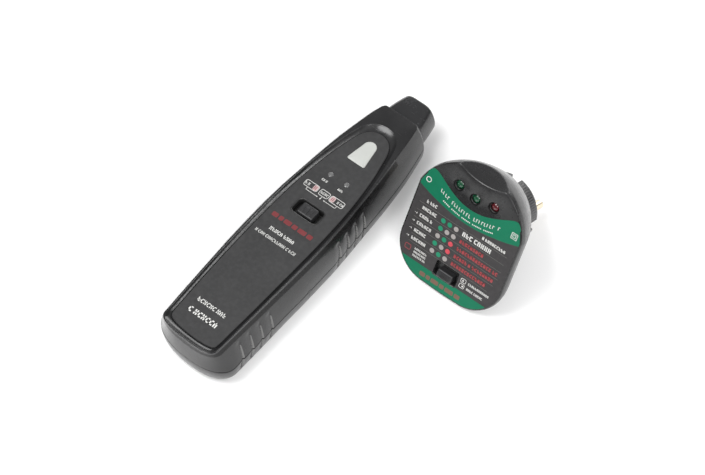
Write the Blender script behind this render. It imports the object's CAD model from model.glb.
"""Circuit breaker finder: a hand-held receiver and a plug-in transmitter, made over the CAD frame.

Sizes are in millimetres until a mesh is built. The receiver lies on its back on the floor: x across,
y along with the nose at +y, z up. Its design y runs from 0 at the rear to 190 at the nose tip, and
REAR_Y shifts it into the scene. The transmitter leans face up, and has its own frame: x across, y up
the face, and depth d behind the face.
"""
import bpy, bmesh, math
import numpy as np
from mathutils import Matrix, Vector


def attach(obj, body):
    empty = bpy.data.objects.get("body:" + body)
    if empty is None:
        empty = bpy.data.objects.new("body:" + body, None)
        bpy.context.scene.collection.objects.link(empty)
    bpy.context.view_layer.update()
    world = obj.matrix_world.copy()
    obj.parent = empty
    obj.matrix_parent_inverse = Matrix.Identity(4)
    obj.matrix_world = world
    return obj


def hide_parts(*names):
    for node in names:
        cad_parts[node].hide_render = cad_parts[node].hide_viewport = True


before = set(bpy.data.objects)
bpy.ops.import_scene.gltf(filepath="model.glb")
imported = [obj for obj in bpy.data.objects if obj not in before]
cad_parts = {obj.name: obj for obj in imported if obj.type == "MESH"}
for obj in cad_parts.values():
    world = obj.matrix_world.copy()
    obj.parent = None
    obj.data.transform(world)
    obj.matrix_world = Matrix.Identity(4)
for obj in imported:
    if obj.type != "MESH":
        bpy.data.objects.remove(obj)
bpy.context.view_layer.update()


MM = 0.001
REAR_Y = -95.0

# ------------------------------------------------------------------ transmitter pose
DRUM_Y, DRUM_R, DRUM_D = -20.8, 18.65, 42.8     # centre, radius and depth of the drum's end
CHANNEL_W = 5.6                                 # channels at the drum's top and bottom
HEEL_Y, HEEL_D = -59.55, 4.0                    # lower contact with the floor
DRUM_LOW_Y = DRUM_Y - math.sqrt(DRUM_R ** 2 - (CHANNEL_W / 2) ** 2)
TILT = math.atan2(DRUM_D - HEEL_D, DRUM_LOW_Y - HEEL_Y)
FACE_UP = np.array([0, math.cos(TILT), math.sin(TILT)])
FACE_OUT = np.array([0, -math.sin(TILT), math.cos(TILT)])
FACE_ORIGIN = np.array([72.0, 46.0, -HEEL_Y * math.sin(TILT) + HEEL_D * math.cos(TILT) + 0.2])


def on_case(points, z):
    """Outline in receiver design millimetres, placed at height z."""
    return [(x, y + REAR_Y, z) for x, y in points]


def on_face(points, d):
    """Outline in transmitter millimetres, placed at depth d."""
    return [FACE_ORIGIN + np.array([1.0, 0, 0]) * x + FACE_UP * y - FACE_OUT * d
            for x, y in points]


# ------------------------------------------------------------------ mesh helpers
def dress(o, material, body, slot, *replaced):
    """Gives an object its material and tells the frame what it belongs to."""
    o.data.materials.clear()
    o.data.materials.append(MATERIALS[material])
    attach(o, body)
    if replaced:
        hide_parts(*replaced)


class Piece:
    """Collects the vertices and faces of one piece. A ring is a list of vertex indices."""

    def __init__(self):
        self.verts, self.faces = [], []

    def ring(self, points):
        start = len(self.verts)
        self.verts += [tuple(map(float, p)) for p in points]
        return list(range(start, len(self.verts)))

    def strip(self, a, b, closed=True):
        """Quads between two rings, or two open rows matched up to the shorter one."""
        n = min(len(a), len(b))
        for i in range(n if closed else n - 1):
            j = (i + 1) % n
            self.faces.append((a[i], a[j], b[j], b[i]))

    def rings(self, loops, closed=True, after=None):
        """Rings joined in a row, starting from an existing ring if one is given."""
        made = [self.ring(p) for p in loops]
        if after:
            made.insert(0, after)
        for a, b in zip(made, made[1:]):
            self.strip(a, b, closed)
        return made

    def fan(self, ring):
        centre = self.ring([np.mean([self.verts[i] for i in ring], axis=0)])[0]
        for i in range(len(ring)):
            self.faces.append((ring[i], ring[(i + 1) % len(ring)], centre))

    def capped(self, loops, after=None):
        """Rings closed by a fan at the last one."""
        made = self.rings(loops, after=after)
        self.fan(made[-1])
        return made

    def wall_to(self, ring, z):
        """Upright wall from a ring to its copy at height z."""
        copy = self.ring([(*self.verts[i][:2], z) for i in ring])
        self.strip(ring, copy)
        return copy

    def fill(self, loops):
        """Flat fill between an outer ring and the rings of its holes."""
        bm = bmesh.new()
        made = {i: bm.verts.new(self.verts[i]) for loop in loops for i in loop}
        index = {vert: i for i, vert in made.items()}
        edges = [bm.edges.new((made[a], made[b]))
                 for loop in loops for a, b in zip(loop, loop[1:] + loop[:1])]
        res = bmesh.ops.triangle_fill(bm, use_beauty=True, use_dissolve=False, edges=edges)
        for g in res["geom"]:
            if isinstance(g, bmesh.types.BMFace):
                self.faces.append(tuple(index[vert] for vert in g.verts))
        bm.free()

    def build(self, name, angle):
        """Makes the object, smooth except at edges sharper than the angle in degrees."""
        me = bpy.data.meshes.new(name)
        me.from_pydata([(x * MM, y * MM, z * MM) for x, y, z in self.verts], [], self.faces)
        me.validate()
        bm = bmesh.new()
        bm.from_mesh(me)
        bmesh.ops.remove_doubles(bm, verts=bm.verts, dist=2e-7)
        bmesh.ops.recalc_face_normals(bm, faces=bm.faces)
        bm.to_mesh(me)
        bm.free()
        for p in me.polygons:
            p.use_smooth = True
        me.set_sharp_from_angle(angle=math.radians(angle))
        o = bpy.data.objects.new(name, me)
        bpy.context.scene.collection.objects.link(o)
        return o

    def finish(self, name, material, body, slot, *replaced, angle=30):
        dress(self.build(name, angle), material, body, slot, *replaced)


# ------------------------------------------------------------------ curves and outlines
def pchip(xs, ys, q):
    """Monotone cubic through the stations, which may run up or down in x."""
    xs, ys = np.asarray(xs, float), np.asarray(ys, float)
    if xs[0] > xs[-1]:
        xs, ys = xs[::-1], ys[::-1]
    h = np.diff(xs)
    d = np.diff(ys) / h
    m = np.zeros(len(xs))
    for i in range(1, len(xs) - 1):
        if d[i - 1] * d[i] > 0:
            w1, w2 = 2 * h[i] + h[i - 1], h[i] + 2 * h[i - 1]
            m[i] = (w1 + w2) / (w1 / d[i - 1] + w2 / d[i])
    m[0], m[-1] = d[0], d[-1]
    q = np.clip(q, xs[0], xs[-1])
    k = np.clip(np.searchsorted(xs, q) - 1, 0, len(xs) - 2)
    t = (q - xs[k]) / h[k]
    return ((2 * t**3 - 3 * t**2 + 1) * ys[k] + (t**3 - 2 * t**2 + t) * h[k] * m[k]
            + (-2 * t**3 + 3 * t**2) * ys[k + 1] + (t**3 - t**2) * h[k] * m[k + 1])


def natural(xs, ys, q):
    """Natural cubic spline."""
    xs, ys = np.asarray(xs, float), np.asarray(ys, float)
    n, h = len(xs), np.diff(xs)
    A, rhs = np.eye(n), np.zeros(n)
    for i in range(1, n - 1):
        A[i, i - 1], A[i, i], A[i, i + 1] = h[i - 1], 2 * (h[i - 1] + h[i]), h[i]
        rhs[i] = 3 * ((ys[i + 1] - ys[i]) / h[i] - (ys[i] - ys[i - 1]) / h[i - 1])
    c = np.linalg.solve(A, rhs)
    k = np.clip(np.searchsorted(xs, q) - 1, 0, n - 2)
    t = q - xs[k]
    b = (ys[k + 1] - ys[k]) / h[k] - h[k] * (2 * c[k] + c[k + 1]) / 3
    d = (c[k + 1] - c[k]) / (3 * h[k])
    return ys[k] + b * t + c[k] * t**2 + d * t**3


def lengths(points):
    """Running length along a polyline."""
    return np.concatenate([[0], np.cumsum(np.hypot(*np.diff(points, axis=0).T))])


def curve(stations, n):
    """Smooth polyline through stations, its n points spaced evenly along its length."""
    p = np.asarray(stations, float)
    s = np.concatenate([[0], np.cumsum(np.hypot(*np.diff(p, axis=0).T) ** 0.75)])
    q = np.linspace(0, s[-1], 3000)
    dense = np.stack([natural(s, p[:, 0], q), natural(s, p[:, 1], q)], 1)
    along = lengths(dense)
    even = np.linspace(0, along[-1], n)
    return np.stack([np.interp(even, along, dense[:, 0]), np.interp(even, along, dense[:, 1])], 1)


def rounded(cx, cy, w, h, r, n=7):
    """Rounded rectangle with n points at each corner."""
    pts = []
    for sx, sy, start in ((1, 1, 0), (-1, 1, 90), (-1, -1, 180), (1, -1, 270)):
        for k in range(n):
            a = math.radians(start + 90 * k / (n - 1))
            pts.append((cx + sx * (w / 2 - r) + r * math.cos(a),
                        cy + sy * (h / 2 - r) + r * math.sin(a)))
    return pts


def circle(cx, cy, r, n=40):
    return [(cx + r * math.cos(2 * math.pi * k / n), cy + r * math.sin(2 * math.pi * k / n))
            for k in range(n)]


def smooth01(t):
    t = np.clip(t, 0, 1)
    return t * t * (3 - 2 * t)


def full(half):
    """Closed loop from a right half that starts and ends on x = 0."""
    left = np.array(half[1:-1][::-1])
    left[:, 0] *= -1
    return np.vstack([half, left])


def dome(place, centre, radius, foot, base, rise, steps, quarter, sides):
    """Lens loops: a wall from foot to base, then rings of a dome. quarter steps would close it."""
    loops = [place(circle(*centre, radius, sides), foot)]
    for k in range(steps):
        a = math.pi / 2 * k / quarter
        loops.append(place(circle(*centre, radius * math.cos(a), sides), base + rise * math.sin(a)))
    return loops


# ------------------------------------------------------------------ materials
MATERIALS = {}


class Shader:
    """A material under construction, with short calls for the nodes used here."""

    def __init__(self, name):
        material = bpy.data.materials.new(name)
        material.use_nodes = True
        MATERIALS[name] = material
        self.tree = material.node_tree
        self.bsdf = self.tree.nodes["Principled BSDF"]
        self.coords = self.node("ShaderNodeTexCoord").outputs["Object"]

    def node(self, kind):
        return self.tree.nodes.new(kind)

    def feed(self, socket, value):
        """Links a socket, or sets a plain value."""
        if isinstance(value, bpy.types.NodeSocket):
            self.tree.links.new(value, socket)
        elif socket.type == "RGBA":
            socket.default_value = (*value, 1)
        else:
            socket.default_value = value

    def inputs(self, node, values):
        for name, value in values.items():
            self.feed(node.inputs[name], value)

    def surface(self, values):
        self.inputs(self.bsdf, values)

    def noise(self, scale, detail, rough, stretch=None):
        source = self.coords
        if stretch:
            mapping = self.node("ShaderNodeMapping")
            self.inputs(mapping, {"Scale": stretch, "Vector": source})
            source = mapping.outputs["Vector"]
        n = self.node("ShaderNodeTexNoise")
        self.inputs(n, {"Scale": scale, "Detail": detail, "Roughness": rough, "Vector": source})
        return n.outputs["Fac"]

    def ramp(self, fac, low, high, span=(0.3, 0.7)):
        n = self.node("ShaderNodeValToRGB")
        for element, position, colour in zip(n.color_ramp.elements, span, (low, high)):
            element.position, element.color = position, (*colour, 1)
        self.feed(n.inputs["Fac"], fac)
        return n.outputs["Color"]

    def remap(self, value, source, target=(0.0, 1.0)):
        n = self.node("ShaderNodeMapRange")
        self.inputs(n, {"From Min": source[0], "From Max": source[1],
                        "To Min": target[0], "To Max": target[1], "Value": value})
        return n.outputs["Result"]

    def math(self, operation, a, b):
        n = self.node("ShaderNodeMath")
        n.operation = operation
        self.feed(n.inputs[0], a)
        self.feed(n.inputs[1], b)
        return n.outputs[0]

    def mix(self, fac, a, b):
        n = self.node("ShaderNodeMix")
        n.data_type = "RGBA"
        for socket, value in ((0, fac), (6, a), (7, b)):     # 6 and 7 are the colour inputs
            self.feed(n.inputs[socket], value)
        return n.outputs[2]

    def bump(self, *layers):
        """Chained bumps, each a (height, strength, distance in metres)."""
        normal = None
        for height, strength, distance in layers:
            n = self.node("ShaderNodeBump")
            self.inputs(n, {"Strength": strength, "Distance": distance, "Height": height})
            if normal is not None:
                self.feed(n.inputs["Normal"], normal)
            normal = n.outputs["Normal"]
        self.surface({"Normal": normal})


def scaled(colour, factor):
    return tuple(x * factor for x in colour)


def brighter(colour, factor, lift):
    return tuple(min(x * factor + lift, 1) for x in colour)


def plastic(name, colour, rough=0.38, grain=0.35, grain_scale=2600, spec=0.5, coat=0.0, wear=0.5,
            var=0.25, metallic=0.0, sss=0.0, trans=0.0, micro=1.0):
    """Moulded plastic: mottled by var, edges worn pale, fine grain, scratches and dust.
    micro scales all the relief."""
    s = Shader(name)
    big = s.noise(scale=38, detail=5, rough=0.6)
    mid = s.noise(scale=420, detail=4, rough=0.6)
    fine = s.noise(scale=grain_scale, detail=3, rough=0.6)
    base = s.ramp(big, scaled(colour, 1 - var), brighter(colour, 1 + var, 0.002))
    geometry = s.node("ShaderNodeNewGeometry")
    edge = s.remap(geometry.outputs["Pointiness"], source=(0.515, 0.56), target=(0.0, wear))
    breaks = s.remap(mid, source=(0.42, 0.66))
    worn = s.mix(s.math("MULTIPLY", edge, breaks), base, brighter(colour, 1.6, 0.015))
    streaks = s.noise(scale=90, detail=2, rough=0.5, stretch=(1, 14, 3))
    scratches = s.remap(streaks, source=(0.69, 0.72))
    specks = s.noise(scale=900, detail=2, rough=0.4)
    dust = s.remap(specks, source=(0.72, 0.80), target=(0.0, 0.10))
    dusty = s.mix(dust, worn, brighter(colour, 2, 0.05))
    roughness = s.math("ADD", s.remap(big, source=(0.3, 0.7), target=(rough - 0.05, rough + 0.06)),
                       s.remap(mid, source=(0.3, 0.7), target=(-0.04, 0.05)))
    roughness = s.math("ADD", roughness, s.math("MULTIPLY", scratches, 0.10))
    s.surface({"Base Color": dusty, "Roughness": roughness, "Specular IOR Level": spec,
               "Metallic": metallic, "IOR": 1.5, "Transmission Weight": trans})
    if coat:
        s.surface({"Coat Weight": coat, "Coat Roughness": 0.12})
    if sss:
        s.surface({"Subsurface Weight": sss, "Subsurface Radius": (0.002, 0.002, 0.002)})
    s.bump((fine, grain * micro, 0.00005), (mid, 0.22 * micro, 0.00007),
           (scratches, 0.12 * micro, 0.00002))


def metal(name, colour, rough, brush=(1, 1, 40)):
    """Brushed metal with darker tarnish. brush stretches the grain along x, y and z."""
    s = Shader(name)
    grain = s.noise(scale=600, detail=3, rough=0.6, stretch=brush)
    big = s.noise(scale=150, detail=4, rough=0.6)
    tarnish = s.remap(big, source=(0.45, 0.75), target=(0.0, 0.35))
    base = s.mix(tarnish, colour, scaled(colour, 0.45))
    brushed = s.remap(grain, source=(0.3, 0.7), target=(rough - 0.06, rough + 0.1))
    dull = s.remap(big, source=(0.4, 0.8), target=(0.0, 0.15))
    s.surface({"Base Color": base, "Metallic": 1.0, "Roughness": s.math("ADD", brushed, dull)})
    s.bump((grain, 0.25, 0.00003), (big, 0.15, 0.00004))


def lens(name, colour):
    """Glossy tinted lens, slightly clear."""
    s = Shader(name)
    big = s.noise(scale=900, detail=3, rough=0.5)
    s.surface({"Base Color": s.ramp(big, scaled(colour, 0.75), colour),
               "Roughness": s.remap(big, source=(0.3, 0.7), target=(0.08, 0.18)),
               "Transmission Weight": 0.25, "Coat Weight": 0.6, "Subsurface Weight": 0.2,
               "Subsurface Radius": (0.002, 0.002, 0.002)})
    s.bump((big, 0.1, 0.00004))


def ink(name, colour):
    """Printed ink with fine darker mottling."""
    s = Shader(name)
    fine = s.noise(scale=3200, detail=4, rough=0.7)
    big = s.noise(scale=300, detail=3, rough=0.5)
    s.surface({"Base Color": s.ramp(fine, scaled(colour, 0.72), colour, span=(0.25, 0.6)),
               "Roughness": s.remap(big, source=(0.3, 0.7), target=(0.45 - 0.06, 0.45 + 0.08))})
    s.bump((fine, 0.2, 0.00003))


# cases, labels and pockets
plastic("case_black", (0.0125, 0.0125, 0.013), rough=0.19, grain=0.22, wear=0.06, micro=0.4)
plastic("case_transmitter", (0.0135, 0.0135, 0.014), rough=0.25, grain=0.26, wear=0.2, micro=0.5)
plastic("nose_black", (0.017, 0.0172, 0.018), rough=0.24, grain=0.25, wear=0.05, micro=0.4)
plastic("label_film", (0.032, 0.032, 0.0325), rough=0.5, spec=0.2, grain=0.5, grain_scale=3400,
        wear=0.2, var=0.08)
plastic("label_transmitter", (0.036, 0.034, 0.035), rough=0.48, spec=0.2, grain=0.5,
        grain_scale=3400, wear=0.2, var=0.08)
plastic("label_green", (0.0, 0.125, 0.062), rough=0.42, spec=0.25, grain=0.35, grain_scale=3400,
        wear=0.0, var=0.07)
plastic("case_facet", (0.11, 0.11, 0.108), rough=0.3, grain=0.2, wear=0.1, micro=0.4)
plastic("case_crest", (0.040, 0.040, 0.041), rough=0.2, grain=0.15, wear=0.05, micro=0.3)
plastic("case_shoulder", (0.0065, 0.0065, 0.0068), rough=0.26, spec=0.22, grain=0.15, wear=0.05,
        micro=0.3)
plastic("pocket_black", (0.008, 0.008, 0.008), rough=0.42, grain=0.3, wear=0.2)
plastic("knob_black", (0.014, 0.014, 0.015), rough=0.40, grain=0.35, wear=0.6)
plastic("window_pale", (0.43, 0.44, 0.42), rough=0.33, grain=0.2, sss=0.35, wear=0.1, var=0.04)
lens("lamp_grey", (0.17, 0.17, 0.17))
lens("lamp_green", (0.006, 0.085, 0.035))
lens("lamp_red", (0.11, 0.007, 0.012))
# inks
ink("ink_white", (0.62, 0.62, 0.60))
ink("ink_grey", (0.30, 0.28, 0.27))
ink("ink_dimgrey", (0.13, 0.13, 0.12))
ink("ink_red", (0.30, 0.036, 0.042))
ink("ink_deep_red", (0.15, 0.02, 0.023))
ink("ink_pale", (0.46, 0.33, 0.33))
ink("ink_dot_red", (0.50, 0.05, 0.07))
ink("ink_band", (0.14, 0.075, 0.05))
ink("ink_green", (0.0, 0.20, 0.10))
# inner parts
plastic("inner_moulding", (0.10, 0.10, 0.10), rough=0.5, grain=0.3)
plastic("board_green", (0.015, 0.13, 0.05), rough=0.3, grain=0.5, grain_scale=1500, coat=0.3)
plastic("dark_part", (0.02, 0.02, 0.02), rough=0.45)
metal("steel", (0.55, 0.56, 0.57), rough=0.28)
metal("pin_nickel", (0.78, 0.69, 0.52), rough=0.18)
metal("clip_brass", (0.72, 0.62, 0.42), rough=0.25)
metal("copper", (0.62, 0.28, 0.12), rough=0.3, brush=(1, 60, 1))
plastic("battery_jacket", (0.05, 0.10, 0.28), rough=0.25, grain=0.1, coat=0.4)
plastic("rubber", (0.02, 0.02, 0.02), rough=0.65)
plastic("wire_red", (0.42, 0.02, 0.02), rough=0.4)
plastic("wire_blue", (0.02, 0.07, 0.36), rough=0.4)
plastic("foam", (0.07, 0.07, 0.07), rough=0.9, grain=1.0, grain_scale=1200)
plastic("ferrite", (0.05, 0.05, 0.055), rough=0.5, metallic=0.4)
lens("led_red", (0.5, 0.05, 0.04))
plastic("film_capacitor", (0.45, 0.33, 0.06), rough=0.3, coat=0.3)
plastic("fuse_glass", (0.7, 0.75, 0.75), rough=0.08, trans=0.85, wear=0.0, grain=0.0)

# ------------------------------------------------------------------ receiver case shape
# The wall is followed by its level: 0 at the crest, 1 at the split line, 2 at the base.
SPLIT_Z, CREST_Z, FRONT_Y = 12, 28.2, 174.5
WALL_H = CREST_Z - SPLIT_Z
# columns: y, then half widths at crest, split and base
STATION_Y, CREST_W, SPLIT_W, BASE_W = np.array([
    (174.5, 10.8, 15.7, 9.0), (166, 12.7, 17.5, 10.8), (156, 14.1, 19.4, 12.4),
    (144, 15.8, 21.0, 14.0), (130, 17.3, 22.3, 15.3), (116, 18.5, 23.2, 16.3),
    (102, 19.5, 24.2, 17.2), (86, 19.9, 24.9, 18.0), (68, 19.7, 25.0, 18.2),
    (48, 19.1, 24.7, 18.0), (28, 18.4, 24.4, 17.8), (14, 17.75, 24.1, 17.3),
    (2.0, 17.1, 23.9, 17.0)]).T
STRAIGHT = np.clip((80 - STATION_Y) / 60, 0, 1)      # the upper wall turns straight to the rear
# level of the upper wall at each height
WALL_Z = [12.5, 15, 18.5, 21.5, 24.3, 26.2, 27.3]
WALL_LEVEL = [0.99, 0.945, 0.82, 0.645, 0.43, 0.235, 0.115]
BOTTOM_H = 11.5                                      # height of the rounded lower wall
FRONT_CORNER_R = 1.6
N_FRONT, N_CORNER, N_SIDE, N_REAR = 14, 8, 440, 34
NOTCH_Y = (116.8, 109.7, 102.4, 95.2, 42.2, 34.8, 27.5, 20.3)
NOTCH_SLANT, NOTCH_DEPTH = 0.15, 0.62
SWITCH = (0.0, 98.3)
SPLIT_PITCH_Y = 68.6                                 # joint between bottom case and battery cover


def widths(level, z):
    """Half widths at the stations."""
    if level > 1:
        return SPLIT_W + (BASE_W - SPLIT_W) * (level - 1)
    straight_level = min(max((CREST_Z - z) / WALL_H, 0), 1)
    return CREST_W + (SPLIT_W - CREST_W) * (level * (1 - STRAIGHT) + straight_level * STRAIGHT)


def drop(y):
    """How far the top falls towards the nose."""
    return 1.6 * np.clip((y - 148) / 26.5, 0, 1) ** 1.5


def half_outline(level, z, inset=0.0):
    """Right half from the front centre to the rear centre, as (x, y)."""
    half_widths = widths(level, z)
    upper, lower = min(level, 1.0), max(level, 1.0) - 1.0
    front = FRONT_Y - inset - lower * 2.2
    rear = 1.5 - 0.5 * upper + lower ** 0.85 * 6.5 + inset
    rear_r = 6.5 + 6.5 * upper - 0.5 * inset
    power = 2.9 - 0.6 * upper
    r = FRONT_CORNER_R
    front_w = pchip(STATION_Y, half_widths, front) - inset
    pts = [((front_w - r) * k / N_FRONT, front) for k in range(N_FRONT)]
    for k in range(N_CORNER):
        a = math.pi / 2 * k / N_CORNER
        pts.append((front_w - r + r * math.sin(a), front - r + r * math.cos(a)))
    ys = np.linspace(front - r, rear + rear_r, N_SIDE)
    side_w = pchip(STATION_Y, half_widths, ys) - inset
    pts += list(zip(side_w, ys))
    for k in range(1, N_REAR + 1):
        a = math.pi / 2 * k / N_REAR
        pts.append((side_w[-1] * math.cos(a) ** (2 / power),
                    rear + rear_r * (1 - math.sin(a) ** (2 / power))))
    return np.array(pts)


def skew(x, y):
    """The rear end's outline leans a little."""
    w = np.clip((62 - y) / 52, 0, 1) ** 1.4
    return x + 0.5 * w, y - 0.045 * x * w


def case_loop(half):
    """Closed, skewed loop in the scene from a right half of (x, y, z)."""
    loop = full(half)
    loop[:, 0], loop[:, 1] = skew(loop[:, 0], loop[:, 1])
    loop[:, 1] += REAR_Y
    return loop


def groove(y, z):
    """Depth of the slanted finger notches at height z."""
    d = np.zeros_like(y)
    window = smooth01((z - 3.5) / 3.0) * (1 - smooth01((z - 21.0) / 3.0))
    for notch in NOTCH_Y:
        s = y - (notch - (22 - z) * NOTCH_SLANT)
        ramp = np.where((s < 0) & (s > -4.6), (1 + s / 4.6) ** 1.6, 0)
        step = np.where((s >= 0) & (s < 0.55), 1 - s / 0.55, 0)
        d = np.maximum(d, np.maximum(ramp, step))
    return NOTCH_DEPTH * d * window


def shell_loop(z, level, inset=0.0, grooved=True):
    h = half_outline(level, z, inset)
    x, y = h[:, 0], h[:, 1]
    heights = np.full(len(h), float(z))
    if z > SPLIT_Z:
        heights = SPLIT_Z + (z - SPLIT_Z) * (1 - drop(y) / WALL_H)
    if grooved:
        x = x - groove(y, z) * smooth01((x - 12) / 4)
    return case_loop(np.column_stack([x, y, heights]))


# Right halves on the top face, front centre to rear centre, as (x, y).
LABEL_EDGE = curve([
    (0, 158.3), (4.2, 157.3), (7.6, 154.4), (9.9, 149.4), (11.2, 144), (12.9, 136), (14.4, 126),
    (15.75, 113), (16.5, 98), (16.75, 82), (16.6, 66), (16.25, 48), (15.7, 30), (15.15, 18),
    (14.9, 11.6), (14.1, 8.5), (11.4, 7.2), (7, 6.5), (0, 6.15)], 900)
BEVEL_EDGE = curve([
    (0, 163.2), (5.4, 161.9), (9.6, 158.3), (12.0, 152.6), (13.8, 145.6), (15.6, 136.4),
    (17.2, 126), (18.45, 113), (19.2, 98), (19.4, 82), (19.2, 66), (18.7, 48), (18.1, 30),
    (17.45, 14), (17.0, 8.0), (15.6, 4.7), (12.4, 3.2), (7, 2.5), (0, 2.3)], 900)
CREST_HALF = half_outline(0.0, CREST_Z, 0.26)


def matched(outer, inner, y_high=140.0, y_low=16.0):
    """Points of a dense inner half curve that pair with the outer half's points: by y along the
    side, by share of length round the two ends."""
    res = np.zeros_like(outer)
    out_len, in_len = lengths(outer), lengths(inner)
    first = np.argmax(outer[:, 1] < y_high)
    last = len(outer) - 1 - np.argmax(outer[::-1, 1] > y_low)
    in_first = np.argmax(inner[:, 1] < outer[first, 1])
    in_last = len(inner) - 1 - np.argmax(inner[::-1, 1] > outer[last, 1])
    for j, y in enumerate(outer[:, 1]):
        if first <= j <= last:
            res[j] = (np.interp(-y, -inner[:, 1], inner[:, 0]), y)
            continue
        if j < first:
            s = out_len[j] / out_len[first] * in_len[in_first]
        else:
            share = (out_len[j] - out_len[last]) / (out_len[-1] - out_len[last])
            s = in_len[in_last] + share * (in_len[-1] - in_len[in_last])
        res[j] = (np.interp(s, in_len, inner[:, 0]), np.interp(s, in_len, inner[:, 1]))
    return res


def offset_half(half, distance):
    """Half curve moved inwards by a distance (outwards if negative)."""
    t = np.gradient(half, axis=0)
    t /= np.linalg.norm(t, axis=1)[:, None] + 1e-9
    n = np.stack([t[:, 1], -t[:, 0]], 1)
    n[0] = (0, -1)
    n[-1] = (0, 1)
    return half + n * distance


def inner_loop(edge, inset, below=0.0, flat_z=None):
    """Loop on the top face, at flat_z or a distance below the falling crest."""
    h = matched(CREST_HALF, offset_half(edge, inset))
    z = CREST_Z - drop(h[:, 1]) - below if flat_z is None else np.full(len(h), flat_z)
    return case_loop(np.column_stack([h, z]))


# ------------------------------------------------------------------ receiver case pieces
SEAT_Z = 25.85                                       # floor the label film lies in


def build_case_top():
    # lip at the split line: z, level, inset
    lip = ((12.20, 1.0, 1.1), (12.22, 1.0, 0.26), (12.34, 0.998, 0.05), (12.5, 0.99, 0.0))
    loops = [shell_loop(*row) for row in lip]
    zs = np.linspace(12.9, 27.3, 36)
    loops += [shell_loop(float(z), float(level))
              for z, level in zip(zs, natural(WALL_Z, WALL_LEVEL, zs))]
    # rounding into the crest: z, level, inset
    for row in ((27.75, 0.065, 0.0), (28.0, 0.03, 0.02), (28.13, 0.01, 0.10), (28.18, 0.0, 0.26)):
        loops.append(shell_loop(*row, False))
    loops.append(inner_loop(BEVEL_EDGE, -0.12))
    loops.append(inner_loop(BEVEL_EDGE, 0.10, below=0.06))
    # hollow slope from the bevel edge down to the label seat
    high, low = inner_loop(BEVEL_EDGE, 0.30, below=0.22), inner_loop(LABEL_EDGE, -0.42, flat_z=26.05)
    sag, steps = 0.21, 7
    for k in range(steps):
        f = k / (steps - 1)
        loop = high * (1 - f) + low * f
        loop[:, 2] -= sag * math.sin(math.pi * f)
        loops.append(loop)
    loops += [inner_loop(LABEL_EDGE, inset, flat_z=SEAT_Z) for inset in (-0.25, 0.15)]
    top = Piece()
    shell = top.rings(loops)
    # switch pocket: width, length, corner radius, z
    pocket = top.rings([on_case(rounded(*SWITCH, w, h, r), z) for w, h, r, z in (
        (16.6, 9.4, 2.4, SEAT_Z), (15.9, 8.9, 2.2, 25.8), (15.2, 8.3, 1.9, 25.3),
        (14.8, 7.9, 1.5, 24.2), (14.8, 7.9, 1.5, 22.4))])
    top.fill([shell[-1], pocket[0]])
    top.fan(pocket[-1])
    top.finish("case_top", "case_black", "receiver", "black_case", "receiver_top_shell", angle=32)


def build_switch_rim():
    """Liner of the switch pocket with a raised rim."""
    rim = Piece()
    # width, length, corner radius, z
    rim.capped([on_case(rounded(*SWITCH, w, h, r), z) for w, h, r, z in (
        (17.6, 10.4, 2.9, 26.50), (17.3, 10.1, 2.8, 26.78), (16.7, 9.5, 2.5, 26.86),
        (16.0, 8.9, 2.2, 26.70), (15.3, 8.3, 1.9, 26.0), (14.9, 7.9, 1.6, 25.0),
        (14.7, 7.8, 1.5, 22.6))])
    rim.finish("switch_rim", "pocket_black", "receiver", "black_case", angle=40)


def cut(source, name, keep_front, gap=0.11):
    """Copy of the bottom shell on one side of the cover joint, with a wall thickness."""
    me = source.data.copy()
    me.name = name
    bm = bmesh.new()
    bm.from_mesh(me)
    plane_y = SPLIT_PITCH_Y + REAR_Y + (gap if keep_front else -gap)
    bmesh.ops.bisect_plane(bm, geom=bm.verts[:] + bm.edges[:] + bm.faces[:],
                           plane_co=Vector((0, plane_y * MM, 0)), plane_no=Vector((0, 1, 0)),
                           clear_inner=keep_front, clear_outer=not keep_front)
    bm.to_mesh(me)
    bm.free()
    o = bpy.data.objects.new(name, me)
    bpy.context.scene.collection.objects.link(o)
    solidify = o.modifiers.new("thick", "SOLIDIFY")
    solidify.thickness = 0.0016
    solidify.offset = -1
    return o


def build_bottom():
    """Bottom case in front and battery cover behind, cut from one shell."""
    loops = [shell_loop(11.80, 1.0, 1.1), shell_loop(11.78, 1.0, 0.26), shell_loop(11.66, 1.0, 0.05)]
    for k in range(34):
        a = math.pi / 2 * k / 33
        z = BOTTOM_H * (1 - math.sin(a))
        loops.append(shell_loop(z, 1.0 + (1 - math.cos(a) ** 0.5), 0.0, z > 3))
    shell = Piece()
    outer = shell.rings(loops)[-1]
    holes = [shell.ring(on_case(circle(x, y, 2.9, 36), 0.0))
             for x, y in ((15.136, 78.5), (-15.136, 78.5), (8.556, 162.5), (-8.556, 162.5))]
    grooves = []
    for k in range(5):
        y = 56 + (k - 2) * 2.6
        grooves.append(shell.capped([on_case(rounded(0, y, 18, 1.5, 0.74, 5), 0.0),
                                     on_case(rounded(0, y, 17.2, 0.9, 0.44, 5), 0.75)])[0])
    for hole in holes:
        shell.fan(shell.wall_to(hole, 0.9))
    shell.fill([outer] + holes + grooves)
    blank = shell.build("blank", angle=32)
    case_bottom = cut(blank, "case_bottom", keep_front=True)
    cover = cut(blank, "cover", keep_front=False)
    bpy.data.objects.remove(blank)
    dress(case_bottom, "case_black", "receiver", "black_case", "receiver_bottom_shell")
    dress(cover, "case_black", "battery_cover", "black_case", "battery_cover")


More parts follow.
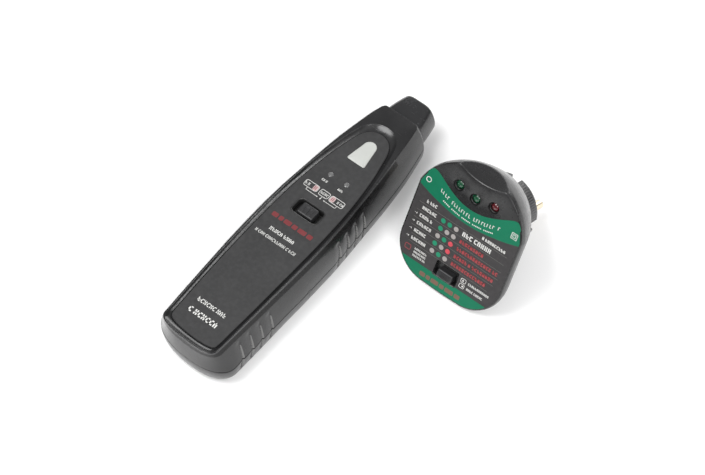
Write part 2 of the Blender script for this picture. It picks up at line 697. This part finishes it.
def build_cover_tick():
    """Small dark patch on each side, above the cover joint."""
    tick = Piece()
    for side in (1, -1):
        rows = []
        for y in (67.8, 70.0):
            column = []
            for z in (11.7, 12.2, 12.6, 13.0):
                level = 1.0 if z < 12.3 else 0.99 - 0.018 * (z - 12.3)
                half_w = pchip(STATION_Y, widths(level, z), y)
                column.append((side * (half_w + 0.05), y + REAR_Y, z))
            rows.append(tick.ring(column))
        a, b = rows
        for k in range(3):
            tick.faces.append((a[k], b[k], b[k + 1], a[k + 1]))
    tick.finish("cover_tick", "pocket_black", "receiver", "black_case")


def build_wall_bands():
    """The crest's polished edge, and the darker shoulder under it."""
    for name, material, heights in (
            ("crest_edge", "case_crest", (28.05, 27.85, 27.6, 27.3)),
            ("shoulder_band", "case_shoulder", (27.25, 26.9, 26.5, 26.0, 25.5, 25.0, 24.6))):
        rows = []
        for z in heights:
            if z > 27.3:
                level = float(np.interp(z, [27.3, 27.75, 28.0, 28.2], [0.115, 0.065, 0.03, 0.0]))
            else:
                level = float(natural(WALL_Z, WALL_LEVEL, z))
            loop = shell_loop(z, level, -0.035, False)
            rows.append([p for p in loop if p[1] < 150 + REAR_Y])
        band = Piece()
        band.rings(rows, closed=False)
        band.finish(name, material, "receiver", "black_case", angle=60)


def wall_x(y, z):
    """Half width of the notched wall."""
    if z > 12.5:
        level = float(natural(WALL_Z, WALL_LEVEL, z))
    else:
        level = 1.0 + (1 - math.cos(math.asin(max(1 - z / BOTTOM_H, 0))) ** 0.5)
    return pchip(STATION_Y, widths(level, z), y) - groove(y, z)


def build_notch_facets():
    """Lighter facets along the slanted finger notches."""
    for name, z0, z1 in (("notch_facets_low", 5.8, 11.6), ("notch_facets_high", 12.6, 20.4)):
        facets = Piece()
        for notch in NOTCH_Y:
            for side in (1, -1):
                rows = []
                for z in np.linspace(z0, z1, 14):
                    half_w = 0.62 * math.sin(math.pi * (z - 4.9) / 16.6) ** 0.7
                    centre = notch - (22 - z) * NOTCH_SLANT + 0.30
                    y = centre + np.linspace(-1, 1, 9) * half_w
                    x = wall_x(y, float(z)) + 0.045
                    rows.append(on_case(zip(*skew(side * x, y)), z))
                facets.rings(rows, closed=False)
        facets.finish(name, "case_facet", "receiver", "black_case", angle=60)


# ------------------------------------------------------------------ nose
# right half sections as (x, z), top centre to bottom centre
NOSE_BASE, NOSE_MID, NOSE_TIP = (curve(points, 70) for points in (
    [(0, 22.95), (5.5, 22.93), (8.8, 22.6), (10.9, 21.0), (12.3, 17.0), (12.8, 12.0),
     (12.2, 7.4), (10.6, 4.7), (8.2, 3.5), (4, 3.3), (0, 3.3)],
    [(0, 22.85), (4.8, 22.82), (7.6, 22.4), (9.7, 20.8), (11.3, 16.8), (11.9, 12.0),
     (11.3, 7.7), (9.8, 5.1), (7.4, 4.0), (4, 3.8), (0, 3.75)],
    [(0, 22.45), (3.6, 22.4), (5.5, 22.0), (7.7, 20.3), (9.6, 16.4), (10.5, 12.0),
     (10.0, 8.2), (8.6, 5.6), (6.2, 4.5), (3, 4.3), (0, 4.25)]))
NOSE_Y, NOSE_END_Y, NOSE_AXIS_Z = 174.5, 190.0, 13.1


def nose_loop(y, inset=0.0):
    u = min(max((y - NOSE_Y) / 15.5, 0), 1)
    h = NOSE_BASE * (1 - u) * (1 - 2 * u) + NOSE_MID * 4 * u * (1 - u) + NOSE_TIP * u * (2 * u - 1)
    axis = np.array([0, NOSE_AXIS_Z])
    h = axis + (h - axis) * (1 - inset / 9.5)
    # the curves' end points stay exactly on x = 0
    return [(x, y + REAR_Y, z) for x, z in full(h)]


def build_nose():
    # root inside the case, then its rounded edge: y, inset
    loops = [nose_loop(*row) for row in ((173.6, 1.3), (174.4, 1.3), (174.75, 1.25), (174.85, 0.5),
                                         (174.95, 0.22), (175.2, 0.04))]
    loops += [nose_loop(y) for y in np.linspace(175.6, 189.0, 28)]
    for k in range(1, 9):
        a = math.pi / 2 * k / 8
        loops.append(nose_loop(189.0 + 1.0 * math.sin(a), 1.0 * (1 - math.cos(a))))
    centre = np.array([0, NOSE_END_Y + REAR_Y, NOSE_AXIS_Z])
    rim = np.array(nose_loop(NOSE_END_Y, 1.0))
    for f in (0.8, 0.5, 0.2):       # slightly bulging end face
        loops.append(centre + (rim - centre) * f + np.array([0, 0.10 * (1 - f), 0]))
    nose = Piece()
    nose.capped(loops)
    nose.finish("nose_piece", "nose_black", "receiver", "black_nose", "nose_cap", angle=38)


# ------------------------------------------------------------------ label film, window, lamps
LABEL_Z = 26.62
LAMP_X, LAMP_Y = 5.2, 123


def film_loop(inset, z):
    h = offset_half(LABEL_EDGE, inset)[::6]
    h[0, 0] = 0
    h[-1, 0] = 0
    return case_loop(np.column_stack([h, np.full(len(h), z)]))


def window_loop(grow, z, n=14):
    """Tapered window with a flat rear edge and a round front, grown all round."""
    foot_y, arc_y, foot_w, taper = 137.1, 148.0, 5.5 + grow, 1.75
    flank = [(4.7 + grow, 136.3 - grow), (5.25 + grow, 136.55 - grow), (foot_w, foot_y)]
    flank += [(foot_w - taper * k / 5, foot_y + (arc_y - foot_y) * k / 5) for k in range(1, 6)]
    arc = [((3.75 + grow) * math.cos(math.pi * k / n),
            arc_y + (3.8 + grow) * math.sin(math.pi * k / n)) for k in range(1, n)]
    return on_case(flank + arc + [(-x, y) for x, y in flank[::-1]], z)


def build_label():
    film = Piece()
    outer = film.rings([film_loop(-0.05, LABEL_Z - 0.7), film_loop(-0.05, LABEL_Z - 0.14),
                        film_loop(0.10, LABEL_Z)])[-1]
    holes = [film.ring(on_case(rounded(*SWITCH, 17.4, 10.2, 2.8), LABEL_Z)),
             film.ring(window_loop(0.06, LABEL_Z))]
    holes += [film.ring(on_case(circle(x, LAMP_Y, 1.55), LABEL_Z)) for x in (LAMP_X, -LAMP_X)]
    for hole in holes:
        film.wall_to(hole, LABEL_Z - 0.5)
    film.fill([outer] + holes)
    film.finish("label_film", "label_film", "receiver", "label_grey", "receiver_label")


def build_window_and_lamps():
    window = Piece()
    # grow, height above the label
    window.capped([window_loop(grow, LABEL_Z + rise) for grow, rise in (
        (-0.02, -0.6), (-0.02, 0.02), (-0.14, 0.16), (-0.40, 0.24), (-1.4, 0.30))])
    window.finish("window_lens", "window_pale", "receiver", "window_pale", "signal_window", angle=60)
    for name, x in (("find_lamp_lens", -LAMP_X), ("ncv_lamp_lens", LAMP_X)):
        lamp = Piece()
        lamp.capped(dome(on_case, (x, LAMP_Y), 1.48, foot=LABEL_Z - 0.5, base=LABEL_Z - 0.12,
                         rise=0.32, steps=8, quarter=7.6, sides=32))
        lamp.finish(name, "lamp_grey", "receiver", "lamp_clear", angle=60)


# ------------------------------------------------------------------ slider knobs
def build_knob(name, body, place, centre, size, radius, z0, z1, crown, ribs, rib_centres):
    """Rounded block from z0 to z1 with a dished top and three ribs on it.
    ribs holds the loops of one rib: width, length, corner radius, z."""
    w, h = size
    knob = Piece()
    loops = []
    for z, dw in ((z0, 0.0), (z1 - 1.1, 0.0), (z1 - 0.5, 0.10), (z1 - 0.15, 0.35), (z1, 0.75)):
        loops.append(place(rounded(*centre, w - 2 * dw, h - 2 * dw, radius - dw * 0.3), z))
    loops.append(place(rounded(*centre, w * 0.62, h * 0.55, 0.7), z1 - crown * 0.5))
    loops.append(place(rounded(*centre, w * 0.3, h * 0.25, 0.4), z1 - crown))
    knob.capped(loops)
    for rib_centre in rib_centres:
        knob.capped([place(rounded(*rib_centre, *shape, 5), z) for *shape, z in ribs])
    knob.finish(name, "knob_black", body, "knob_black", body, angle=35)


def build_mode_knob():
    x0, y0 = SWITCH
    build_knob("mode_knob", "mode_slider", on_case, SWITCH, size=(9.7, 7.1), radius=0.9,
               z0=23.0, z1=27.15, crown=0.28,
               ribs=((0.62, 5.4, 0.3, 26.85), (0.5, 5.2, 0.25, 27.14), (0.2, 4.9, 0.1, 27.2)),
               rib_centres=[(x0 + dx, y0) for dx in (-2.4, 0, 2.4)])


# ------------------------------------------------------------------ printed marks
class Ink(Piece):
    """Flat printed marks, all placed at one level."""

    def __init__(self, place, level):
        super().__init__()
        self.place, self.level = place, level

    def outline(self, points):
        return self.ring(self.place(points, self.level))

    def poly(self, points):
        self.faces.append(tuple(self.outline(points)))

    def bar(self, x0, x1, y, h):
        r = min(h * 0.22, (x1 - x0) * 0.3)
        self.poly(rounded((x0 + x1) / 2, y, x1 - x0, h, r, 3))

    def words(self, x, word_widths, y, h, gap):
        for w in word_widths:
            self.bar(x, x + w, y, h)
            x += w + gap

    def frame(self, cx, cy, w, h, r, t):
        """Rounded frame with line width t."""
        outer = self.outline(rounded(cx, cy, w, h, r, 5))
        inner = self.outline(rounded(cx, cy, w - 2 * t, h - 2 * t, max(r - t, 0.05), 5))
        self.strip(outer, inner)

    def glyphs(self, x, x1, y, h, seed, stroke=0.24):
        """Mock lettering from x to x1: upright ticks and cross bars that spell nothing."""
        rng = np.random.RandomState(seed)
        w, s = h * 0.62, h * stroke
        while x + w <= x1 + 1e-6:
            k = rng.randint(4)
            self.bar(x, x + s, y, h)
            if k in (0, 1):
                self.bar(x, x + w, y + h / 2 - s / 2, s)
            if k in (1, 2):
                self.bar(x, x + w, y - h / 2 + s / 2, s)
            if k in (0, 3):
                self.bar(x + w - s, x + w, y, h)
            if k in (2, 3):
                self.bar(x, x + w, y, s * 0.9)
            x += w * 1.28
            if rng.rand() < 0.13:
                x += w * 0.5

    def lettering(self, *rows):
        """Rows of x0, x1, y, height, seed and, if given, stroke share."""
        for row in rows:
            self.glyphs(*row)


def build_receiver_print():
    white, pale = Ink(on_case, LABEL_Z + 0.035), Ink(on_case, LABEL_Z + 0.035)
    red = Ink(on_case, LABEL_Z + 0.055)
    # under the lamps
    white.lettering((-7.0, -3.2, 118.2, 1.35, 1), (3.3, 7.3, 118.2, 1.35, 2))
    # three framed words, two of them with a pale end holding two red ticks
    box_y = 111.6
    for x, w in ((-8.4, 8.6), (0.0, 6.0), (8.0, 8.8)):
        white.frame(x, box_y, w, 4.0, 1.1, 0.28)
    white.lettering((-12.3, -8.3, box_y, 1.6, 3), (-2.3, 2.4, box_y, 1.5, 4),
                    (8.2, 12.0, box_y, 1.5, 5))
    pale.bar(-7.1, -4.5, box_y, 3.3)
    pale.bar(4.0, 6.6, box_y, 3.3)
    for x in (-6.6, -5.7, 4.6, 5.5):
        red.bar(x, x + 0.35, box_y, 2.2)
    # arrows from the boxes: bars as x0, x1, y, height, then the arrow head
    for bars, head in (
            (((-9.6, -9.35, 109.0, 1.9), (-9.6, -2.4, 108.1, 0.25)),
             ((-1.7, 108.1), (-2.6, 108.5), (-2.6, 107.7))),
            (((-0.12, 0.12, 109.0, 1.6),), ((0, 107.4), (0.45, 108.3), (-0.45, 108.3))),
            (((9.35, 9.6, 109.0, 1.9), (2.4, 9.6, 108.1, 0.25)),
             ((1.7, 108.1), (2.6, 108.5), (2.6, 107.7)))):
        for bar in bars:
            white.bar(*bar)
        white.poly(head)
    red.words(-13.4, (3.6, 2.6, 4.4, 3.0, 5.0, 3.2), y=86.6, h=2.7, gap=0.75)
    white.lettering((-8.8, 7.6, 79.0, 2.1, 7, 0.22), (-14.0, 11.8, 74.0, 1.75, 8, 0.18),
                    (-9.7, 8.6, 24.6, 2.4, 9, 0.2), (-9.7, 9.9, 17.7, 3.1, 11, 0.24))
    for name, marks, material in (("print_pale", pale, "ink_pale"),
                                  ("print_white", white, "ink_white"),
                                  ("print_red", red, "ink_deep_red")):
        marks.finish(name, material, "receiver", "label_grey")


# ------------------------------------------------------------------ transmitter shape
# columns: depth, half width, bottom y, top arc radius, bottom corner radius
FACE_D, FACE_HALF_W, FACE_BOTTOM_Y, TOP_ARC_R, CORNER_R = np.array([
    (0.0, 31.5, -59.0, 32.7, 20.5), (3.0, 31.8, -59.35, 32.8, 20.5),
    (5.0, 31.6, -58.85, 32.5, 20.3), (7.0, 31.2, -57.8, 32.0, 20.0),
    (10.5, 29.8, -55.2, 30.9, 19.2), (14.0, 28.3, -52.5, 29.4, 18.0),
    (17.0, 27.0, -50.3, 27.9, 17.0), (19.5, 25.9, -48.5, 26.6, 16.0),
    (22.0, 24.6, -46.8, 25.2, 15.0), (24.0, 23.2, -45.4, 24.0, 14.0)]).T
TOP_ARC_Y = -15.8
N_TOP, N_FLANK, N_BOTTOM_CORNER, N_BOTTOM = 90, 36, 44, 22
# the top is scooped by a ball centred at this y, and this far in front of the face
SCOOP_R, SCOOP_Y, SCOOP_FRONT = 36.0, 44.4, 12.0
SCOOP_BLEND = 1.1
SEAM_D, BACK_D = 14.0, 24.0
LAMPS = [(-10.8, 1.9), (0.0, 0.0), (10.8, 1.9)]
FACE_SWITCH = (0.0, -46.6)


def face_half(d, inset=0.0, scoop=True):
    """Right half at depth d, from the top centre to the bottom centre."""
    half_w = pchip(FACE_D, FACE_HALF_W, d) - inset
    bottom = pchip(FACE_D, FACE_BOTTOM_Y, d) + inset
    arc_r = pchip(FACE_D, TOP_ARC_R, d) - inset
    r = pchip(FACE_D, CORNER_R, d) - inset
    arc_end = math.acos(half_w / arc_r)
    pts = []
    for k in range(N_TOP):
        a = math.pi / 2 - (math.pi / 2 - arc_end) * k / N_TOP
        pts.append((arc_r * math.cos(a), TOP_ARC_Y + arc_r * math.sin(a)))
    flank_y = TOP_ARC_Y + arc_r * math.sin(arc_end)
    for k in range(N_FLANK):
        pts.append((half_w, flank_y + (bottom + r - flank_y) * k / N_FLANK))
    for k in range(N_BOTTOM_CORNER):
        a = math.pi / 2 * k / N_BOTTOM_CORNER
        pts.append((half_w - r + r * math.cos(a), bottom + r - r * math.sin(a)))
    belly = 0.25 if d < 12 else 0
    for k in range(N_BOTTOM + 1):
        f = k / N_BOTTOM
        pts.append(((half_w - r) * (1 - f), bottom - belly * math.sin(math.pi / 2 * f)))
    pts = np.array(pts)
    r2 = SCOOP_R ** 2 - (SCOOP_FRONT + d) ** 2
    if scoop and r2 > 0:
        x, y = pts[:, 0], pts[:, 1]
        limit = SCOOP_Y - np.sqrt(np.maximum(r2 - x ** 2, 0)) - inset * 0.8
        upper = (y > -10) & (np.abs(x) < 24)
        # a soft minimum keeps the scoop's edge slightly rounded
        h = np.clip(0.5 + 0.5 * (y - limit) / SCOOP_BLEND, 0, 1)
        soft = y * (1 - h) + limit * h - SCOOP_BLEND * h * (1 - h)
        pts[:, 1] = np.where(upper, soft, y)
    return pts


def face_loop(d, inset=0.0):
    return on_face(full(face_half(d, inset)), d)


def build_transmitter_front():
    # rounded face edge: depth, inset
    loops = [face_loop(*row) for row in (
        (0.0, 0.75), (0.03, 0.5), (0.16, 0.24), (0.42, 0.07), (0.8, 0.0))]
    loops += [face_loop(float(d)) for d in np.linspace(1.3, SEAM_D - 0.22, 30)]
    loops += [face_loop(SEAM_D - before, inset)
              for before, inset in ((0.08, 0.03), (0.03, 0.12), (0.01, 0.6))]
    front = Piece()
    face = front.rings(loops)[0]
    holes = []
    for x, y in LAMPS:
        # radius, depth
        holes.append(front.capped([on_face(circle(x, y, r, 44), d) for r, d in (
            (3.45, 0.0), (3.22, 0.06), (3.08, 0.25), (3.02, 0.6), (2.95, 3.6))])[0])
    # switch pocket: width, height, corner radius, depth
    holes.append(front.capped([on_face(rounded(*FACE_SWITCH, w, h, r, 6), d) for w, h, r, d in (
        (14.4, 9.2, 1.3, 0.0), (14.1, 8.9, 1.2, 0.12), (13.8, 8.6, 1.0, 0.5),
        (13.7, 8.5, 1.0, 3.4))])[0])
    front.fill([face] + holes)
    front.finish("transmitter_front", "case_transmitter", "transmitter", "black_case",
                 "transmitter_front_shell", angle=28)


def drum_outline(radius, rib):
    """Round drum with channels top and bottom, a groove each side and fine ribs between."""
    pts = []
    for k in range(720):
        a = 2 * math.pi * k / 720
        x, y = math.cos(a), math.sin(a)
        r = radius + rib * (0.5 + 0.5 * math.cos(a * 90))
        # in a channel the point moves in to its floor
        if abs(radius * x) < CHANNEL_W / 2:
            r = min(r, 14.9 / abs(y))
        if abs(radius * y) < 3.1 and radius > 17:
            r = min(r, 16.0 / abs(x))
        pts.append((r * x, r * y + DRUM_Y))
    return pts


def build_transmitter_back():
    back = Piece()
    loops = [face_loop(SEAM_D + after, inset)
             for after, inset in ((0.01, 0.6), (0.03, 0.12), (0.08, 0.03))]
    for d in np.concatenate([np.linspace(SEAM_D + 0.25, 21.0, 16), np.linspace(21.3, 23.99, 14)]):
        loops.append(face_loop(float(d)))
    loops.append(face_loop(BACK_D, 0.6))
    shell_end = back.rings(loops)[-1]

    # round plinth under the drum: radius, depth
    foot = back.ring(on_face(circle(0, DRUM_Y, DRUM_R + 2.4, 180), BACK_D))
    back.fill([shell_end, foot])
    back.capped([on_face(circle(0, DRUM_Y, r, 180), d) for r, d in (
        (DRUM_R + 1.75, 24.5), (DRUM_R + 1.6, 25.2), (DRUM_R + 1.55, 25.75),
        (DRUM_R + 1.3, 26.0), (14.6, 26.0))], after=foot)

    # drum: radius, rib height, depth
    drum = back.rings([on_face(drum_outline(r, rib), d) for r, rib, d in (
        (DRUM_R, 0.0, 25.6), (DRUM_R, 0.0, 26.6), (DRUM_R - 0.05, 0.14, 27.0),
        (DRUM_R - 0.05, 0.14, 40.6), (DRUM_R, 0.0, 41.0), (DRUM_R, 0.0, 42.1),
        (DRUM_R - 0.2, 0.0, 42.6), (DRUM_R - 0.6, 0.0, DRUM_D), (16.2, 0, DRUM_D))])
    pin_holes = [back.capped([on_face(circle(x, DRUM_Y, r), d)
                              for r, d in ((3.3, DRUM_D), (3.12, 42.55), (3.12, 41.4))])[0]
                 for x in (9.5, -9.5)]
    back.fill([drum[-1]] + pin_holes)
    back.finish("transmitter_back", "case_transmitter", "transmitter", "black_case",
                "transmitter_back_shell")


# ------------------------------------------------------------------ transmitter label
# right halves of the smile-shaped band's two edges, as (x, y)
BAND_TOP = curve([(0, -6.35), (4.2, -6.05), (8.2, -5.1), (12.2, -3.55), (15.6, -1.9), (18.6, -0.25),
                  (20.8, 1.0), (23.0, 2.15), (24.8, 2.75), (26.1, 2.75)], 60)
BAND_LOW = curve([(0, -15.0), (8, -14.45), (16.5, -12.95), (24, -11.1), (30.6, -8.9)], 50)
# rounds the band's outer top corner into the face edge
BAND_CORNER = np.array([[27.2, 1.95], [28.0, 0.9], [28.75, -0.6]])


def build_film(name, material, loop, d_top, d_foot, *replaced, hole=None):
    """Thin flat film with a wall from d_top down to d_foot."""
    film = Piece()
    outlines = [loop] if hole is None else [loop, hole]
    tops = [film.rings([on_face(line, d_top), on_face(line, d_foot)])[0] for line in outlines]
    film.fill(tops)
    film.finish(name, material, "transmitter", "label_grey", *replaced)


def build_face_films():
    edge = face_half(0.0, 0.9, scoop=False)
    edge = edge[edge[:, 1] < 2.7]
    side = edge[edge[:, 1] < -1.3]
    build_film("transmitter_film", "label_transmitter",
               full(np.vstack([BAND_TOP, BAND_CORNER, side])), -0.10, 0.02, "transmitter_label",
               hole=rounded(*FACE_SWITCH, 14.6, 9.4, 1.4, 6))
    build_film("band_upper", "label_green",
               full(np.vstack([BAND_TOP, BAND_CORNER, side[side[:, 1] > -8.9], BAND_LOW[::-1]])),
               -0.14, -0.05)
    # the lower band's top edge dips to clear the switch opening
    y = -50.7
    right = [(np.interp(-y, -edge[:, 1], edge[:, 0]), y)]
    right += [tuple(p) for p in edge[edge[:, 1] < -50.5]]
    dip = [(-7.35, y), (-7.2, y - 0.35), (-6.6, y - 0.7), (6.6, y - 0.7), (7.2, y - 0.35), (7.35, y)]
    build_film("band_lower", "label_green", right + [(-x, y) for x, y in right[::-1][1:]] + dip,
               -0.14, -0.05)


def build_face_print():
    white, grey, red, lines, green_dots, red_dots, low = (Ink(on_face, -0.175) for _ in range(7))
    # table of dots: left column, top row and pitches
    dot_x, row_y, pitch_x, pitch_y = -11.5, -20.74, 4.04, 4.70
    dot_ink = {"G": green_dots, "g": grey, "R": red_dots}
    for j, row in enumerate(("GGg", "Ggg", "gGR", "GgR", "gGg")):
        for i, kind in enumerate(row):
            dot_ink[kind].poly(circle(dot_x + pitch_x * i, row_y - pitch_y * j, 1.38, 24))
    for k, (x0, x1) in enumerate([(-27.4, 27.2)] * 4 + [(-25.5, 26.0), (-25.5, 24.0)]):
        lines.bar(x0, x1, row_y + pitch_y / 2 - pitch_y * k, 0.16)
    for k in range(5):
        y = row_y - pitch_y * k
        white.glyphs(-24.6, -15.4, y, 1.9, 20 + k)
        if k:
            white.bar(-27.6, -26.2, y, 0.22)
            white.bar(-26.6, -26.2, y, 0.9)
    white.lettering((-23.5, -16.2, row_y + pitch_y, 1.9, 31),
                    (11.2, 25.8, row_y + pitch_y - 0.3, 1.75, 32, 0.26),
                    (0.6, 18.5, row_y, 2.7, 33))
    for k, x1 in ((1, 16.5), (2, 26.0), (3, 26.0), (4, 23.0)):
        red.glyphs(0.6, x1, row_y - pitch_y * k, 2.1, 40 + k, 0.3)
    # band marks: two rows of plain ticks following the smile
    for k, x in enumerate(np.arange(-18.5, 18.6, 1.55)):
        y = -10.0 + 0.0118 * x * x
        if k % 9 != 4:
            white.bar(x, x + 0.36, y, 2.0)
            if k % 3 != 1:
                white.bar(x, x + 1.0, y + (0.82 if k % 2 else -0.82), 0.36)
    for k, x in enumerate(np.arange(-15.5, 15.6, 0.95)):
        if k % 7 != 5:
            white.bar(x, x + 0.55, -13.05 + 0.0100 * x * x, 0.75)
    # nested squares and a ring at the band's ends: x, y, width, height, corner radius, line
    for row in ((26.6, -5.2, 3.6, 3.6, 0.25, 0.32), (26.6, -5.2, 1.9, 1.9, 0.15, 0.3),
                (-26.8, -4.6, 3.2, 3.2, 1.6, 0.42)):
        white.frame(*row)
    # boxes and lettering either side of the switch
    for k in range(2):
        y = -44.4 - 3.2 * k
        white.frame(10.4, y, 3.2, 2.6, 0.7, 0.28)
        white.bar(9.8 + 0.7 * k, 10.6 + 0.7 * k, y, 1.0)
        white.glyphs(13.4, 26.2 - 2.4 * k, y, 1.35, 60 + k)
    for k in range(3):
        white.glyphs(-20.6, -12.4, -44.2 - 2.0 * k, 1.2, 70 + k)
    red.frame(-24.6, -45.4, 3.6, 3.2, 0.8, 0.3)
    low.words(-13.5, (3.4, 2.4, 4.6, 2.8, 5.2, 3.4), y=-54.9, h=2.5, gap=0.7)
    for name, marks, material in (
            ("marks_white", white, "ink_white"), ("marks_grey", grey, "ink_grey"),
            ("marks_red", red, "ink_red"), ("marks_lines", lines, "ink_dimgrey"),
            ("dots_green", green_dots, "ink_green"), ("dots_red", red_dots, "ink_dot_red"),
            ("marks_low", low, "ink_band")):
        marks.finish(name, material, "transmitter", "label_grey")


def build_face_lamps():
    """Three lenses in black bezels."""
    for (x, y), colour, name in zip(LAMPS, ("lamp_green", "lamp_green", "lamp_red"),
                                    ("lamp_green_left", "lamp_green_middle", "lamp_red_right")):
        lamp = Piece()
        lamp.capped(dome(on_face, (x, y), 2.5, foot=3.5, base=2.6, rise=-1.7, steps=10,
                         quarter=9.4, sides=40))
        lamp.finish(name + "_lens", colour, "transmitter", colour, name, angle=60)
        bezel = Piece()
        # radius, depth
        bezel.rings([on_face(circle(x, y, r), d) for r, d in (
            (3.0, 1.6), (2.95, 1.25), (2.7, 1.15), (2.5, 1.35), (2.45, 2.6))])
        bezel.finish(name + "_bezel", "pocket_black", "transmitter", "black_case", angle=40)


def build_function_knob():
    x0, y0 = FACE_SWITCH[0], FACE_SWITCH[1] - 1.7
    build_knob("function_knob", "function_slider", lambda points, z: on_face(points, -z), (x0, y0),
               size=(9.2, 4.7), radius=0.8, z0=-3.1, z1=0.95, crown=0.25,
               ribs=((6.4, 0.46, 0.22, 0.7), (6.2, 0.36, 0.17, 0.96), (6.0, 0.16, 0.07, 1.0)),
               rib_centres=[(x0, y0 + dy) for dy in (-0.95, 0, 0.95)])


build_case_top()
build_switch_rim()
build_bottom()
build_cover_tick()
build_wall_bands()
build_notch_facets()
build_nose()
build_label()
build_window_and_lamps()
build_mode_knob()
build_receiver_print()
build_transmitter_front()
build_transmitter_back()
build_face_films()
build_face_print()
build_face_lamps()
build_function_knob()

# ------------------------------------------------------------------ CAD pieces that stay shown
CAD_PIECES = {
    "inner_moulding": "battery_tray mode_switch_lever coil_holder",
    "lamp_grey": "find_lamp ncv_lamp",
    "steel": "mode_switch_case battery_terminals receiver_case_screws board_screws tray_screws "
             "function_switch_case transmitter_case_screws",
    "board_green": "receiver_board transmitter_board",
    "led_red": "signal_leds",
    "dark_part": "buzzer receiver_chip transmitter_chip",
    "ferrite": "coil_core",
    "copper": "coil_winding signal_transformer",
    "clip_brass": "ncv_antenna earth_clip_upper earth_clip_lower",
    "battery_jacket": "battery",
    "rubber": "battery_clip battery_lead_black",
    "wire_red": "battery_lead_red live_wire",
    "wire_blue": "neutral_wire",
    "foam": "battery_pad",
    "pin_nickel": "plug_pin_left plug_pin_right",
    "film_capacitor": "dropper_capacitor",
    "fuse_glass": "fuse",
}
cad_material = {piece: name for name, pieces in CAD_PIECES.items() for piece in pieces.split()}
for piece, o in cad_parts.items():
    if piece in cad_material:
        o.data.materials.clear()
        o.data.materials.append(MATERIALS[cad_material[piece]])

# ------------------------------------------------------------------ stage, in metres
scene = bpy.context.scene


def build_floor(half=6.0, z=-0.0002):
    material = bpy.data.materials.new("floor_pale")
    material.use_nodes = True
    inputs = material.node_tree.nodes["Principled BSDF"].inputs
    inputs["Base Color"].default_value = (0.92, 0.92, 0.92, 1)
    inputs["Roughness"].default_value = 0.75
    inputs["Specular IOR Level"].default_value = 0.2
    me = bpy.data.meshes.new("floor")
    corners = [(-half, -half, z), (half, -half, z), (half, half, z), (-half, half, z)]
    me.from_pydata(corners, [], [(0, 1, 2, 3)])
    floor = bpy.data.objects.new("floor", me)
    scene.collection.objects.link(floor)
    me.materials.append(material)


def aim(o, location, target):
    o.location = location
    o.rotation_euler = (Vector(target) - Vector(location)).to_track_quat("-Z", "Y").to_euler()


def area(name, location, target, size, power):
    light = bpy.data.lights.new(name, "AREA")
    light.shape = "RECTANGLE"
    light.size, light.size_y = size
    light.energy = power
    o = bpy.data.objects.new(name, light)
    scene.collection.objects.link(o)
    aim(o, location, target)


def build_world():
    """Grey sky, brighter overhead, with a darker patch where the flat tops mirror it."""
    world = bpy.data.worlds.new("world")
    scene.world = world
    world.use_nodes = True
    nodes, link = world.node_tree.nodes, world.node_tree.links.new
    coords = nodes.new("ShaderNodeTexCoord").outputs["Generated"]
    split = nodes.new("ShaderNodeSeparateXYZ")
    sky = nodes.new("ShaderNodeValToRGB")
    link(coords, split.inputs[0])
    link(split.outputs["Z"], sky.inputs["Fac"])
    stops = sky.color_ramp.elements
    stops[0].position, stops[0].color = 0.0, (0.10, 0.10, 0.10, 1)
    stops[1].position, stops[1].color = 0.95, (1.0, 1.0, 1.0, 1)
    for position, grey in ((0.35, 0.20), (0.65, 0.5)):
        stops.new(position).color = (grey, grey, grey, 1)
    toward = nodes.new("ShaderNodeVectorMath")
    toward.operation = "DOT_PRODUCT"
    toward.inputs[1].default_value = (-0.34, 0.42, 0.84)     # direction of the patch
    link(coords, toward.inputs[0])
    patch = nodes.new("ShaderNodeMapRange")
    patch.inputs["From Min"].default_value = 0.62
    patch.inputs["From Max"].default_value = 0.90
    link(toward.outputs["Value"], patch.inputs["Value"])
    mix = nodes.new("ShaderNodeMix")
    mix.data_type = "RGBA"
    mix.inputs[7].default_value = (0.42, 0.42, 0.425, 1)
    link(patch.outputs["Result"], mix.inputs[0])
    link(sky.outputs["Color"], mix.inputs[6])
    background = nodes["Background"]
    link(mix.outputs[2], background.inputs["Color"])
    background.inputs["Strength"].default_value = 1.0


def build_camera():
    data = bpy.data.cameras.new("photo_camera")
    camera = bpy.data.objects.new("photo_camera", data)
    scene.collection.objects.link(camera)
    azimuth, elevation, distance = math.radians(38.82), math.radians(57.10), 1.5216
    back = Vector((math.sin(azimuth) * math.cos(elevation),
                   -math.cos(azimuth) * math.cos(elevation), math.sin(elevation)))
    target = Vector((0.01656, 0.01853, 0.0))
    aim(camera, target + back * distance, target)
    data.sensor_fit = "HORIZONTAL"
    data.sensor_width = 36.0
    data.lens = 151.9
    data.clip_start, data.clip_end = 0.01, 50
    scene.camera = camera


build_floor()
area("overhead", (-0.48, -0.42, 1.35), target=(0.03, 0.03, 0), size=(0.8, 0.8), power=17)
area("right_key", (0.95, -0.75, 1.15), target=(0.03, 0.0, 0), size=(0.7, 0.7), power=17)
area("edge_strip", (1.15, 0.55, 0.85), target=(0.0, 0.0, 0), size=(0.10, 1.0), power=3.5)
area("back_strip", (-0.35, 1.7, 0.42), target=(0.04, 0, 0), size=(1.9, 0.45), power=12)
build_world()
scene.view_settings.view_transform = "Standard"
scene.view_settings.look = "None"
build_camera()
